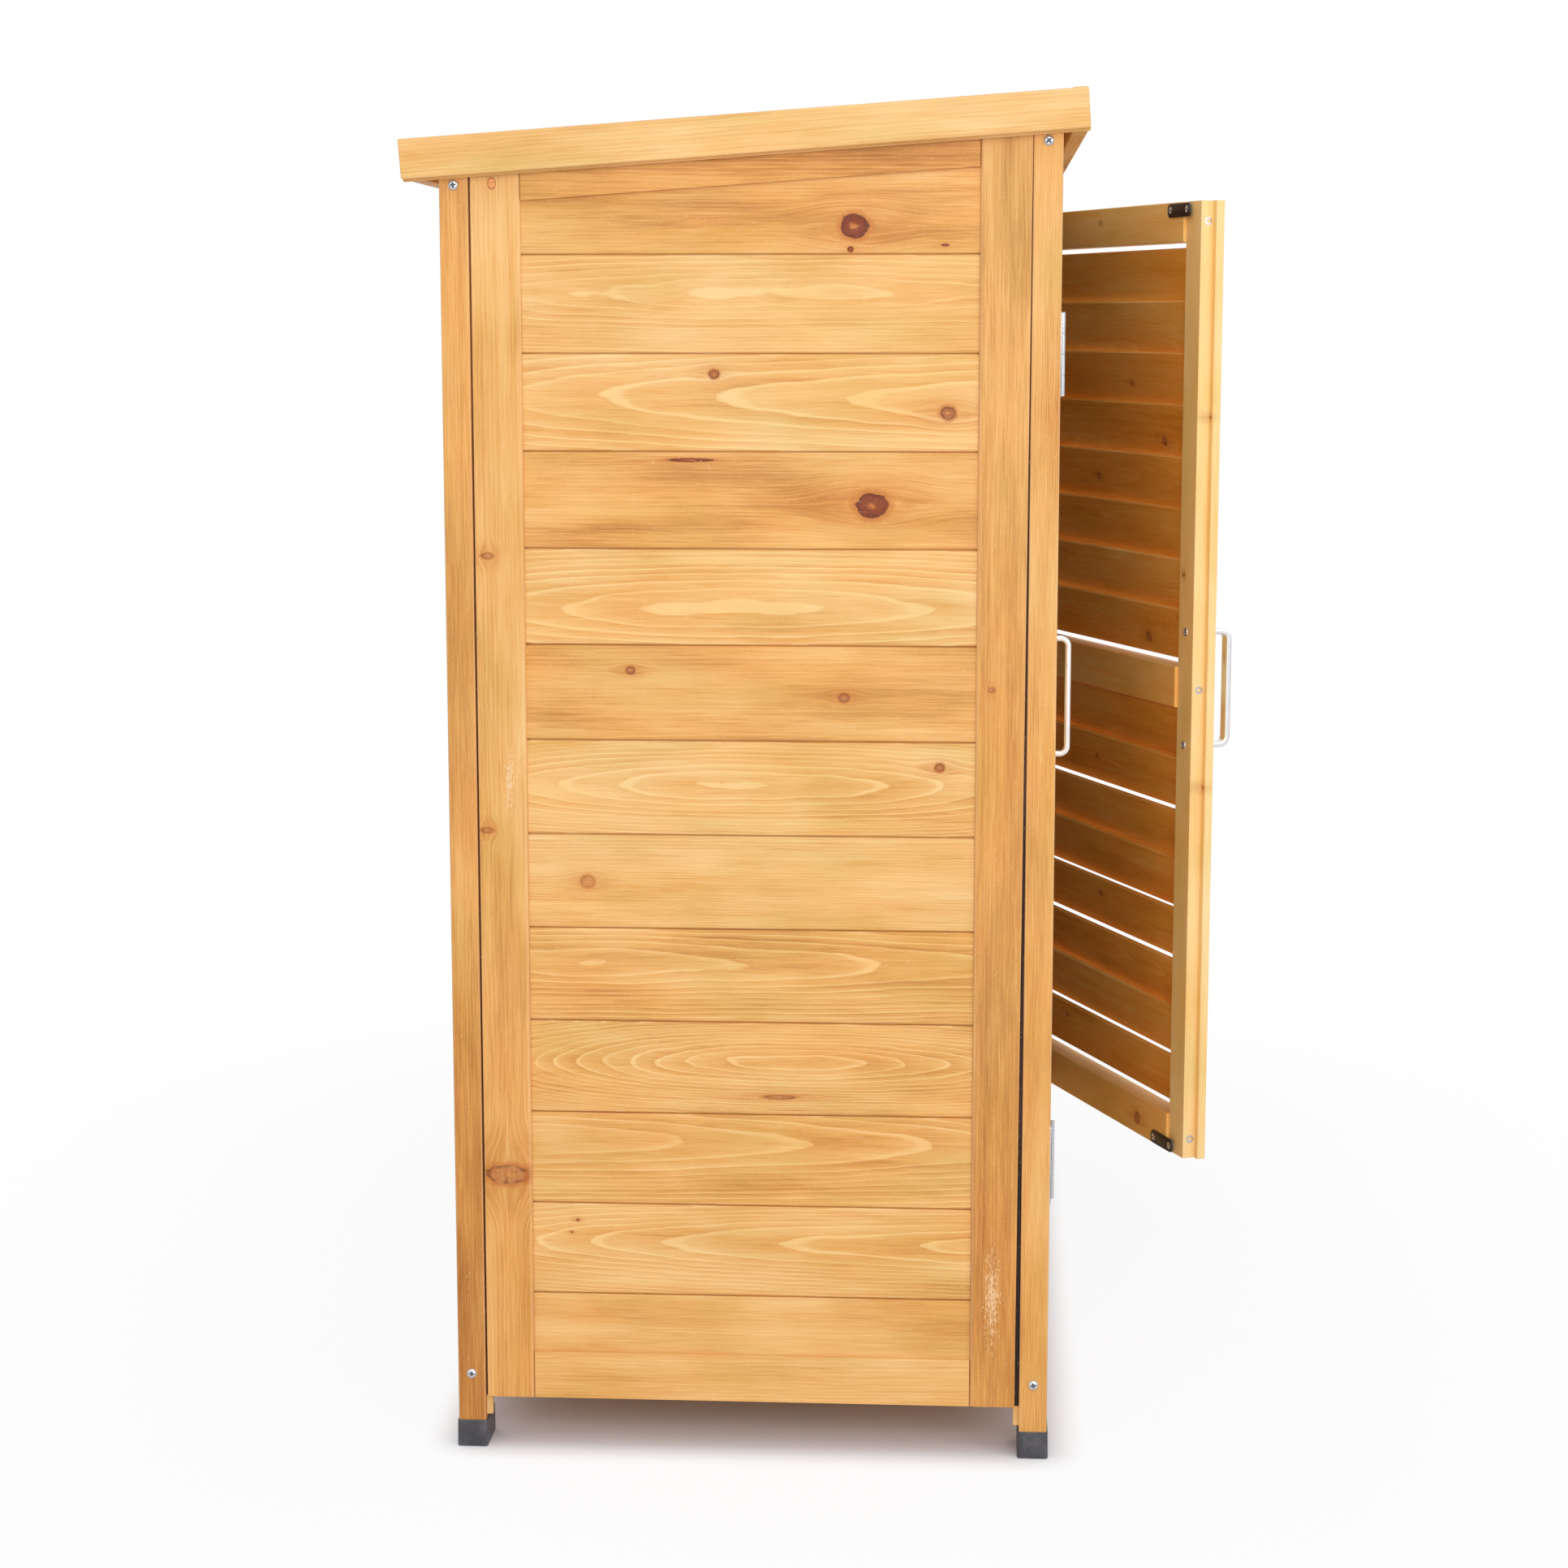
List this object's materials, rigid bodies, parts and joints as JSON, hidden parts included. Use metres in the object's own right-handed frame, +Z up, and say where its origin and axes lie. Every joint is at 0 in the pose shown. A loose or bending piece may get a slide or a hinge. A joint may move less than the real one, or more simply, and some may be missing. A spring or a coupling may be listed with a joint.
{
  "type": "garden storage cabinet",
  "caption": "Wooden garden storage cabinet with louvred double doors, plank walls in grooved frames, a pent roof falling to the back, shelves and capped feet.",
  "frame": {"origin": "on the floor, in the middle of the plan of the whole cabinet as it stands with its right door ajar", "axes": "+Z up, -Y out of the front (the doors' side), +X to the right of someone facing the doors"},
  "size_m": [0.87, 0.6124, 0.9662],
  "materials": {
    "frame_wood": "honey-stained softwood, satin",
    "plank_wood": "honey-stained softwood planks, satin",
    "slat_wood": "honey-stained softwood slats, satin",
    "inner_wood": "stained softwood, matt",
    "foot_plastic": "moulded, matt",
    "catch_plastic": "moulded, matt",
    "zinc_steel": "zinc plated",
    "handle_metal": "silver powder coat",
    "plate_steel": "black, semi-gloss",
    "roofing_felt": "mineral felt"
  },
  "bodies": {
    "cabinet": {"right_front_post": "frame_wood", "left_front_post": "frame_wood", "right_back_post": "frame_wood", "left_back_post": "frame_wood", "right_front_foot_cap": "foot_plastic", "left_front_foot_cap": "foot_plastic", "right_back_foot_cap": "foot_plastic", "left_back_foot_cap": "foot_plastic", "front_top_rail": "frame_wood", "front_bottom_rail": "frame_wood", "back_top_rail": "frame_wood", "back_bottom_rail": "frame_wood", "back_planks": "plank_wood", "back_centre_batten": "inner_wood", "floor_boards": "inner_wood", "lower_shelf": "inner_wood", "upper_shelf": "inner_wood", "shelf_battens": "inner_wood", "right_fascia": "frame_wood", "left_fascia": "frame_wood", "front_fascia": "frame_wood", "back_fascia": "frame_wood", "roof_boards": "inner_wood", "roof_felt": "roofing_felt", "roof_battens": "inner_wood", "magnetic_catches": "catch_plastic", "frame_screws": "zinc_steel", "hinge_post_leaves": "zinc_steel", "hinge_pins": "zinc_steel", "right_side_front_stile": "frame_wood", "right_side_back_stile": "frame_wood", "right_side_top_rail": "frame_wood", "right_side_bottom_rail": "frame_wood", "right_side_planks": "plank_wood", "left_side_front_stile": "frame_wood", "left_side_back_stile": "frame_wood", "left_side_top_rail": "frame_wood", "left_side_bottom_rail": "frame_wood", "left_side_planks": "plank_wood"},
    "left_door": {"left_door_hinge_stile": "frame_wood", "left_door_meeting_stile": "frame_wood", "left_door_bottom_rail": "frame_wood", "left_door_middle_rail": "frame_wood", "left_door_top_rail": "frame_wood", "left_door_slats": "slat_wood", "left_door_handle": "handle_metal", "left_door_strike_plates": "plate_steel", "left_door_hinge_leaves": "zinc_steel", "left_door_screws": "zinc_steel"},
    "right_door": {"right_door_hinge_stile": "frame_wood", "right_door_meeting_stile": "frame_wood", "right_door_bottom_rail": "frame_wood", "right_door_middle_rail": "frame_wood", "right_door_top_rail": "frame_wood", "right_door_slats": "slat_wood", "right_door_handle": "handle_metal", "right_door_strike_plates": "plate_steel", "right_door_hinge_leaves": "zinc_steel", "right_door_screws": "zinc_steel"}
  },
  "joints": [
    {"name": "left_door_hinge", "type": "hinge", "parent": "cabinet", "child": "left_door", "pos_m": [-0.38725, -0.14806, 0.50393], "axis": [0, 0, -1], "range_deg": [0, 170]},
    {"name": "right_door_hinge", "type": "hinge", "parent": "cabinet", "child": "right_door", "pos_m": [0.38725, -0.14806, 0.50393], "axis": [0, 0, 1], "range_deg": [-22, 148]}
  ]
}
